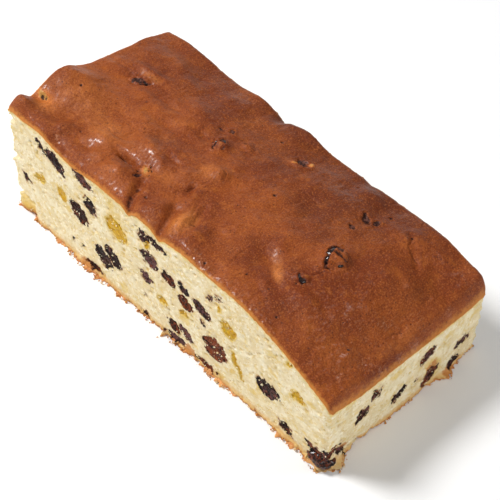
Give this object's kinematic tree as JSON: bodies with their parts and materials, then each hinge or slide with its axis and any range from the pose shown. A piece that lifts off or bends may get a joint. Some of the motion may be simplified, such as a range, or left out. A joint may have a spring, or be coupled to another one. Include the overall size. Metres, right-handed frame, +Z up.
{
  "type": "slab fruit cake",
  "caption": "Rectangular slab of light fruit cake with a humped brown top crust, pale cut sides and raisins and candied peel set in it.",
  "frame": {"origin": "middle of the base, on the surface the slab stands on", "axes": "+Z up, +X along the slab towards its low end, -Y out of the long cut face with the most fruit"},
  "size_m": [0.206, 0.1, 0.0682],
  "materials": {
    "crumb": "pale, fine-pored cake crumb with a baked brown crust on top and a thin brown crust below",
    "raisin": "dark raisin, wrinkled and slightly glossy skin, matt purple-grey where it is cut",
    "peel": "moist, see-through yellow candied peel"
  },
  "bodies": {
    "root": {"cake": "crumb", "peel_back_01": "peel", "peel_back_02": "peel", "peel_front_01": "peel", "peel_front_02": "peel", "peel_front_03": "peel", "peel_front_04": "peel", "peel_front_05": "peel", "peel_front_06": "peel", "peel_left_01": "peel", "peel_left_02": "peel", "raisin_back_01": "raisin", "raisin_back_02": "raisin", "raisin_back_03": "raisin", "raisin_back_04": "raisin", "raisin_back_05": "raisin", "raisin_back_06": "raisin", "raisin_back_07": "raisin", "raisin_back_08": "raisin", "raisin_corner_01": "raisin", "raisin_corner_02": "raisin", "raisin_front_01": "raisin", "raisin_front_02": "raisin", "raisin_front_03": "raisin", "raisin_front_04": "raisin", "raisin_front_05": "raisin", "raisin_front_06": "raisin", "raisin_front_07": "raisin", "raisin_front_08": "raisin", "raisin_front_09": "raisin", "raisin_front_10": "raisin", "raisin_front_11": "raisin", "raisin_front_12": "raisin", "raisin_front_13": "raisin", "raisin_front_14": "raisin", "raisin_front_15": "raisin", "raisin_front_16": "raisin", "raisin_front_17": "raisin", "raisin_front_18": "raisin", "raisin_front_19": "raisin", "raisin_front_20": "raisin", "raisin_front_21": "raisin", "raisin_front_22": "raisin", "raisin_front_23": "raisin", "raisin_left_01": "raisin", "raisin_left_02": "raisin", "raisin_left_03": "raisin", "raisin_right_01": "raisin", "raisin_right_02": "raisin", "raisin_right_03": "raisin", "raisin_right_04": "raisin", "raisin_right_05": "raisin", "raisin_right_06": "raisin", "raisin_right_07": "raisin", "raisin_top_01": "raisin", "raisin_top_02": "raisin", "raisin_top_03": "raisin", "raisin_top_04": "raisin", "raisin_top_05": "raisin", "raisin_top_06": "raisin"}
  },
  "joints": []
}
